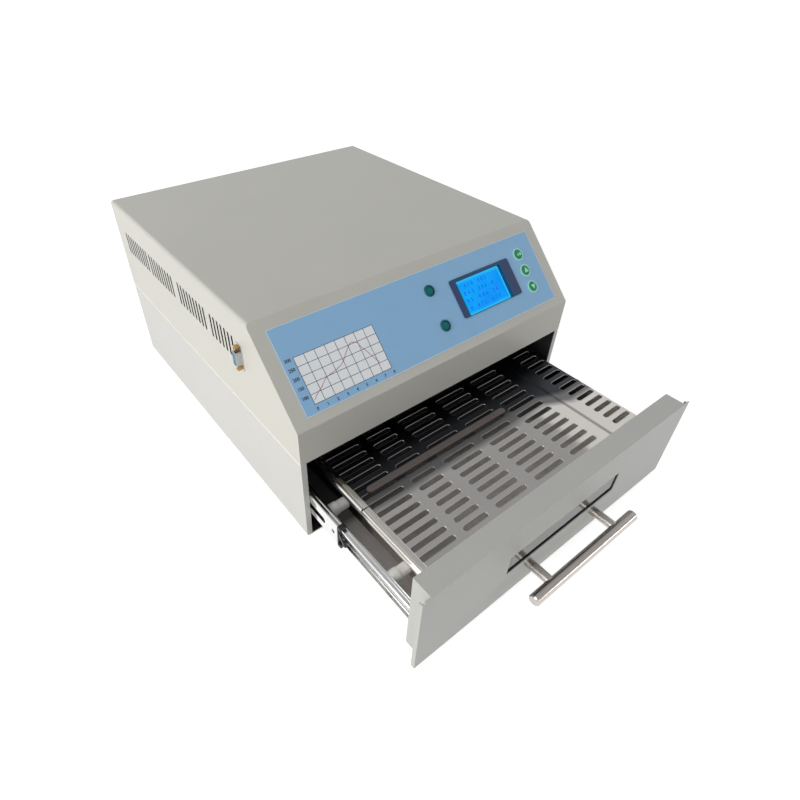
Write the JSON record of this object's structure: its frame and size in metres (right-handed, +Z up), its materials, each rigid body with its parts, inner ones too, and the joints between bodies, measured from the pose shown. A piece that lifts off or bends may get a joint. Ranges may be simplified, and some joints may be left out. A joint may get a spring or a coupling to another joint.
{
  "type": "benchtop infrared reflow oven",
  "caption": "Benchtop infrared reflow oven: folded steel casing with a sloped control panel and a windowed board drawer on telescopic ball slides.",
  "frame": {"origin": "centre of the bounding box in plan, on the plane of the feet, with the drawer 169 mm out", "axes": "-Y towards the drawer and the user, +Z up, +X to the user's right when facing the oven"},
  "size_m": [0.393, 0.6437, 0.238],
  "materials": {
    "cover_paint": "fine textured powder coat, warm light grey",
    "lower_paint": "fine textured powder coat, light grey",
    "rubber": "matt black",
    "zinc_plate": "zinc-plated sheet and screws",
    "slide_steel": "rolled and plated, bright along the bends",
    "bumper_plastic": "moulded nylon",
    "ball_steel": "polished balls in a stamped strip",
    "stainless": "polished stainless sheet",
    "aluminised": "aluminised sheet",
    "reflector_metal": "bright reflector sheet",
    "wool": "ceramic wool",
    "quartz": "clear quartz",
    "filament_wire": "resistance wire",
    "ceramic": "white glazed ceramic",
    "motor_steel": "plain steel can",
    "probe_steel": "drawn steel sheath",
    "black_plastic": "moulded",
    "transformer_steel": "varnished laminations",
    "circuit_board": "green solder mask",
    "relay_plastic": "moulded",
    "brass": "turned brass",
    "display_frame": "black oxide",
    "display_glow": "blue backlit panel",
    "bezel_plastic": "dark slate",
    "clear_plastic": "clear acrylic",
    "overlay_film": "printed polyester film",
    "ring_plastic": "pale green",
    "key_plastic": "green, printed mark",
    "lamp_bezel": "dark",
    "lamp_lens": "dark green lens, unlit",
    "connector_shell": "tin plate",
    "connector_blue": "moulded",
    "rocker_plastic": "red",
    "window_pane": "clear heat-proof glass",
    "handle_metal": "satin",
    "bar_metal": "dark heat-proof finish",
    "spacer_ceramic": "white glazed ceramic"
  },
  "bodies": {
    "housing": {"lower_casing": "lower_paint", "top_cover": "cover_paint", "rear_panel": "cover_paint", "rubber_feet": "rubber", "casing_screws": "zinc_plate", "slide_mount_rails": "zinc_plate", "slide_outer_members": "slide_steel", "chamber_hood": "aluminised", "insulation_blanket": "wool", "service_deck": "zinc_plate", "heater_tubes": "quartz", "heater_filaments": "filament_wire", "heater_caps": "ceramic", "heat_reflectors": "reflector_metal", "stirrer_motor": "motor_steel", "thermocouples": "probe_steel", "exhaust_fan_frame": "black_plastic", "fan_guard": "zinc_plate", "transformer": "transformer_steel", "power_board": "circuit_board", "heater_relays": "relay_plastic", "control_board": "circuit_board", "board_standoffs": "brass", "lcd_module": "display_frame", "lcd_screen": "display_glow", "display_bezel": "bezel_plastic", "display_window": "clear_plastic", "control_overlay": "overlay_film", "key_rings": "ring_plastic", "indicator_bezels": "lamp_bezel", "indicator_lenses": "lamp_lens", "serial_shell": "connector_shell", "serial_insert": "connector_blue", "jack_screws": "brass", "power_inlet": "black_plastic", "switch_bezel": "black_plastic"},
    "drawer": {"drawer_front": "lower_paint", "window_glass": "window_pane", "window_retainer": "zinc_plate", "handle_bar": "handle_metal", "handle_posts": "handle_metal", "tray": "stainless", "board_bar": "bar_metal", "drawer_pan": "stainless", "ceramic_spacers": "spacer_ceramic", "slide_inner_members": "slide_steel"},
    "left_middle": {"slide_middle_left": "slide_steel", "slide_bumper_left": "bumper_plastic"},
    "right_middle": {"slide_middle_right": "slide_steel", "slide_bumper_right": "bumper_plastic"},
    "left_outer_cage": {"outer_cage_left": "ball_steel"},
    "right_outer_cage": {"outer_cage_right": "ball_steel"},
    "left_inner_cage": {"inner_cage_left": "ball_steel"},
    "right_inner_cage": {"inner_cage_right": "ball_steel"},
    "key_select": {"select_key": "key_plastic"},
    "key_up": {"up_key": "key_plastic"},
    "key_down": {"down_key": "key_plastic"},
    "stirrer": {"stirrer_impeller": "motor_steel"},
    "exhaust_rotor": {"exhaust_fan_rotor": "black_plastic"},
    "rocker": {"power_rocker": "rocker_plastic"}
  },
  "joints": [
    {"name": "drawer_slide", "type": "slide", "parent": "housing", "child": "drawer", "axis": [0, -1, 0], "range_m": [-0.169, 0.1]},
    {"name": "left_middle_slide", "type": "slide", "parent": "housing", "child": "left_middle", "axis": [0, -1, 0], "range_m": [-0.0845, 0.05]},
    {"name": "left_outer_cage_slide", "type": "slide", "parent": "housing", "child": "left_outer_cage", "axis": [0, -1, 0], "range_m": [-0.04225, 0.025]},
    {"name": "left_inner_cage_slide", "type": "slide", "parent": "housing", "child": "left_inner_cage", "axis": [0, -1, 0], "range_m": [-0.12675, 0.075]},
    {"name": "right_middle_slide", "type": "slide", "parent": "housing", "child": "right_middle", "axis": [0, -1, 0], "range_m": [-0.0845, 0.05]},
    {"name": "right_outer_cage_slide", "type": "slide", "parent": "housing", "child": "right_outer_cage", "axis": [0, -1, 0], "range_m": [-0.04225, 0.025]},
    {"name": "right_inner_cage_slide", "type": "slide", "parent": "housing", "child": "right_inner_cage", "axis": [0, -1, 0], "range_m": [-0.12675, 0.075]},
    {"name": "select_key_press", "type": "slide", "parent": "housing", "child": "key_select", "axis": [0, 0.7025, -0.7117], "range_m": [0, 0.0008], "stiffness_N_per_m": 400},
    {"name": "up_key_press", "type": "slide", "parent": "housing", "child": "key_up", "axis": [0, 0.7025, -0.7117], "range_m": [0, 0.0008], "stiffness_N_per_m": 400},
    {"name": "down_key_press", "type": "slide", "parent": "housing", "child": "key_down", "axis": [0, 0.7025, -0.7117], "range_m": [0, 0.0008], "stiffness_N_per_m": 400},
    {"name": "stirrer_spin", "type": "hinge", "parent": "housing", "child": "stirrer", "pos_m": [0.002, 0.09781, 0.165], "axis": [0, 0, 1], "continuous": true},
    {"name": "exhaust_spin", "type": "hinge", "parent": "housing", "child": "exhaust_rotor", "pos_m": [0.002, 0.30745, 0.16], "axis": [0, 1, 0], "continuous": true},
    {"name": "power_rocker_tilt", "type": "hinge", "parent": "housing", "child": "rocker", "pos_m": [0.082, 0.31795, 0.055], "axis": [1, 0, 0], "range_deg": [-18, 0]}
  ],
  "couplings": [
    {"joint": "left_middle_slide", "follows": "drawer_slide", "ratio": 0.5},
    {"joint": "left_outer_cage_slide", "follows": "drawer_slide", "ratio": 0.25},
    {"joint": "left_inner_cage_slide", "follows": "drawer_slide", "ratio": 0.75},
    {"joint": "right_middle_slide", "follows": "drawer_slide", "ratio": 0.5},
    {"joint": "right_outer_cage_slide", "follows": "drawer_slide", "ratio": 0.25},
    {"joint": "right_inner_cage_slide", "follows": "drawer_slide", "ratio": 0.75}
  ]
}
